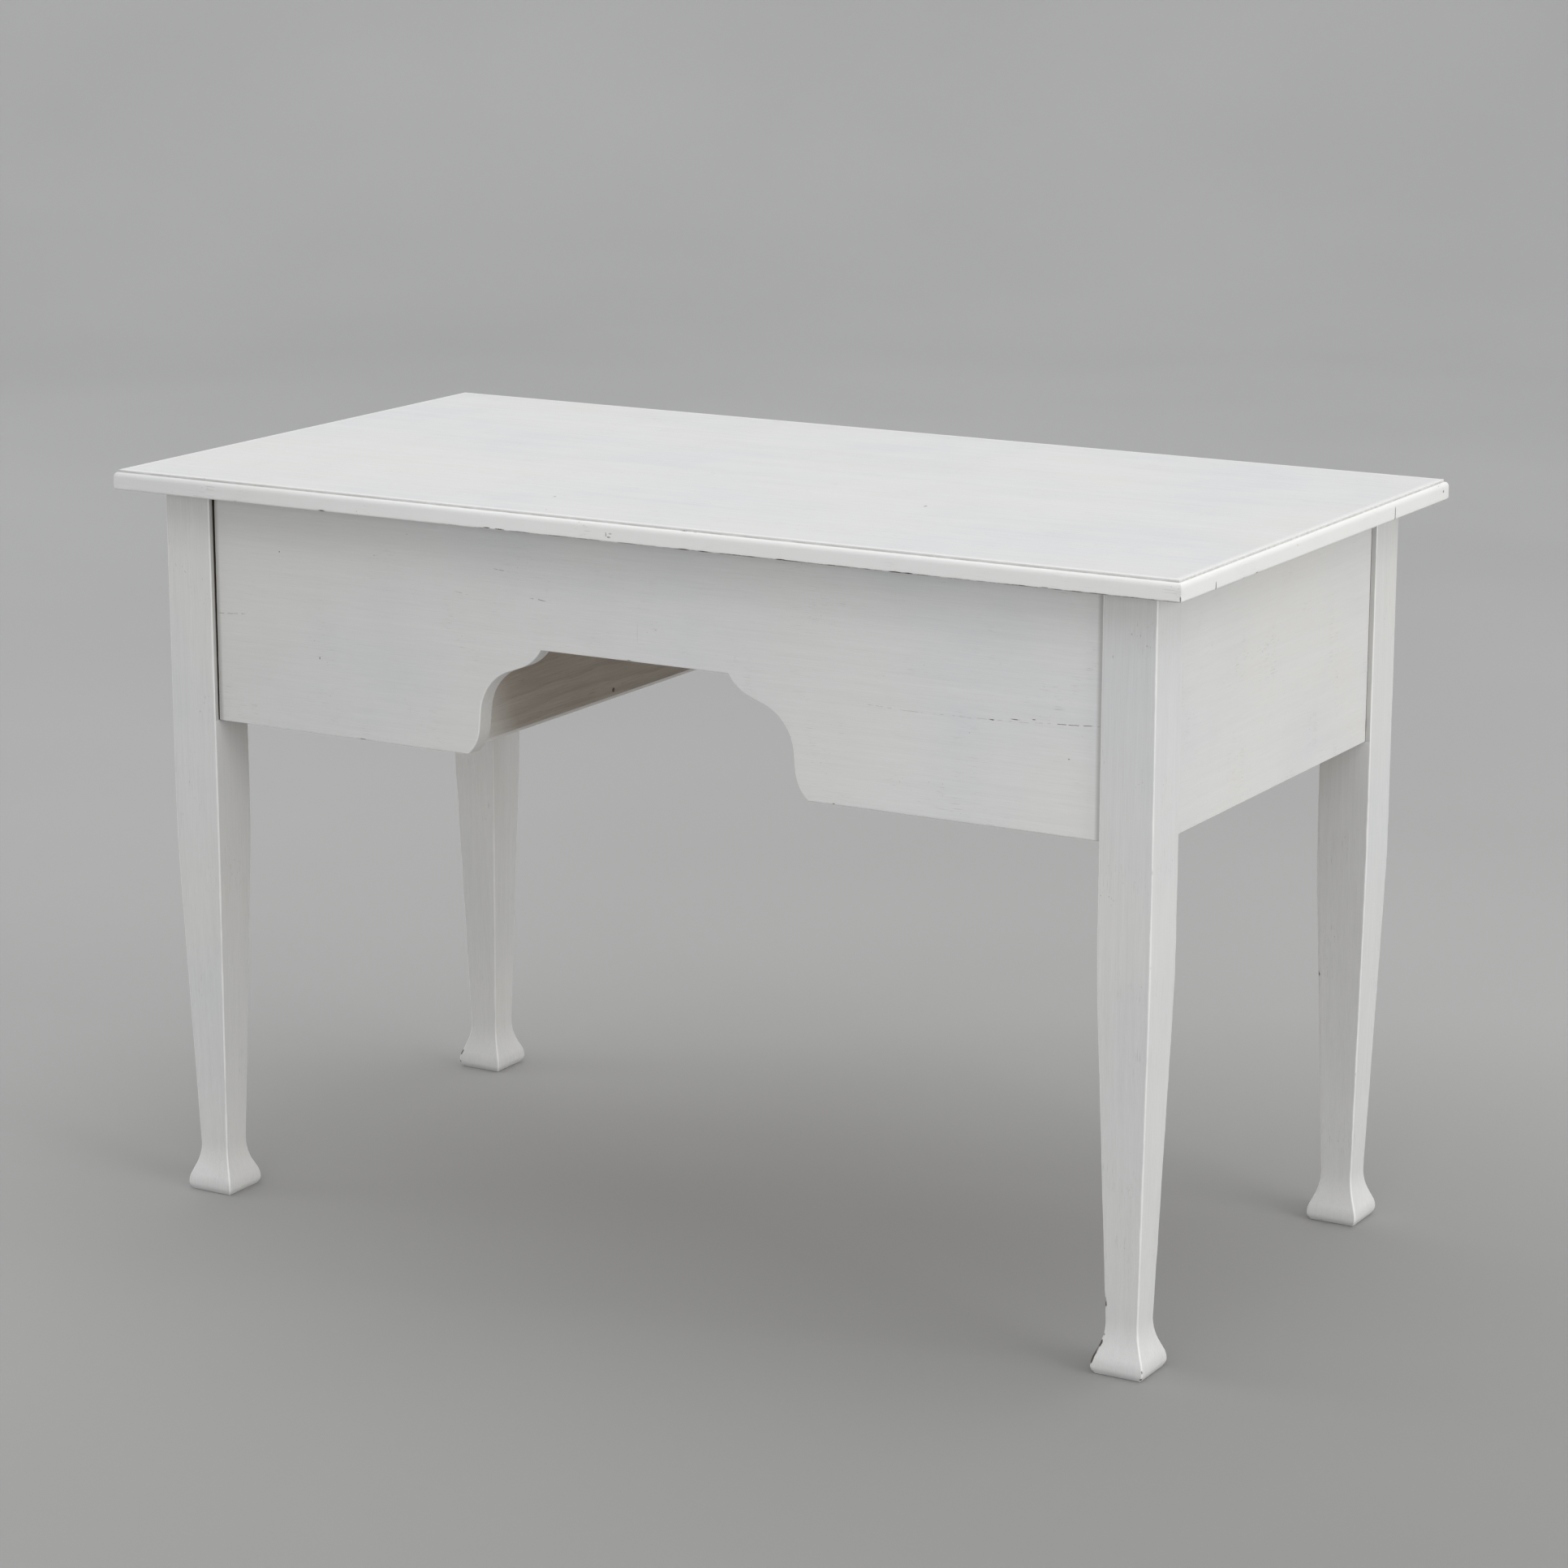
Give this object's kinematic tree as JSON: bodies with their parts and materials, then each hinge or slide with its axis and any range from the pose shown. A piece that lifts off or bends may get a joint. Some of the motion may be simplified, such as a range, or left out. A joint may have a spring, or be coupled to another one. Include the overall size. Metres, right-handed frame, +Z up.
{
  "type": "sewing table",
  "caption": "White-painted kneehole sewing table with a moulded plank top, square tapered legs, an ogee cut-out apron on one long side and sliding drawers on the other.",
  "frame": {"origin": "on the floor, under the middle of the top", "axes": "+Z up, +X along the long side, -Y out of the side with the cut-out apron, +Y out of the drawer side"},
  "size_m": [1.176, 0.62, 0.76],
  "materials": {
    "top_paint": "brushed white eggshell paint, grain faintly showing",
    "leg_paint": "brushed white eggshell paint, worn at the arrises",
    "board_paint": "brushed white eggshell paint over horizontal grain",
    "rail_paint": "brushed white eggshell paint",
    "knob_paint": "white eggshell paint on turned wood",
    "aged_wood": "unpainted softwood, greyed with age, paint on its edges",
    "carcass_pine": "unpainted planed softwood",
    "drawer_pine": "unpainted planed softwood",
    "steel": "dulled steel"
  },
  "bodies": {
    "table_frame": {"apron_board": "board_paint", "back_left_leg": "leg_paint", "back_right_leg": "leg_paint", "center_rail": "rail_paint", "drawer_stops": "carcass_pine", "front_left_leg": "leg_paint", "front_right_leg": "leg_paint", "glue_blocks": "carcass_pine", "left_center_kicker": "carcass_pine", "left_center_runner": "carcass_pine", "left_end_board": "board_paint", "left_inner_kicker": "carcass_pine", "left_inner_runner": "carcass_pine", "left_lower_rail": "rail_paint", "left_outer_kicker": "carcass_pine", "left_outer_runner": "carcass_pine", "left_partition": "aged_wood", "right_center_kicker": "carcass_pine", "right_center_runner": "carcass_pine", "right_end_board": "board_paint", "right_inner_kicker": "carcass_pine", "right_inner_runner": "carcass_pine", "right_lower_rail": "rail_paint", "right_outer_kicker": "carcass_pine", "right_outer_runner": "carcass_pine", "right_partition": "aged_wood", "runner_nails": "steel", "top_plank_1": "top_paint", "top_plank_2": "top_paint", "top_plank_3": "top_paint", "top_plank_4": "top_paint", "top_plank_5": "top_paint", "top_rail": "rail_paint", "top_screws": "steel"},
    "left_drawer": {"left_drawer_back": "drawer_pine", "left_drawer_bottom": "drawer_pine", "left_drawer_bottom_nails": "steel", "left_drawer_front": "rail_paint", "left_drawer_knob": "knob_paint", "left_drawer_knob_screw": "steel", "left_drawer_left_side": "drawer_pine", "left_drawer_right_side": "drawer_pine"},
    "center_drawer": {"center_drawer_back": "drawer_pine", "center_drawer_bottom": "drawer_pine", "center_drawer_bottom_nails": "steel", "center_drawer_front": "rail_paint", "center_drawer_knob": "knob_paint", "center_drawer_knob_screw": "steel", "center_drawer_left_side": "drawer_pine", "center_drawer_right_side": "drawer_pine"},
    "right_drawer": {"right_drawer_back": "drawer_pine", "right_drawer_bottom": "drawer_pine", "right_drawer_bottom_nails": "steel", "right_drawer_front": "rail_paint", "right_drawer_knob": "knob_paint", "right_drawer_knob_screw": "steel", "right_drawer_left_side": "drawer_pine", "right_drawer_right_side": "drawer_pine"}
  },
  "joints": [
    {"name": "left_drawer_slide", "type": "slide", "parent": "table_frame", "child": "left_drawer", "axis": [0, 1, 0], "range_m": [0, 0.36]},
    {"name": "center_drawer_slide", "type": "slide", "parent": "table_frame", "child": "center_drawer", "axis": [0, 1, 0], "range_m": [0, 0.36]},
    {"name": "right_drawer_slide", "type": "slide", "parent": "table_frame", "child": "right_drawer", "axis": [0, 1, 0], "range_m": [0, 0.36]}
  ]
}
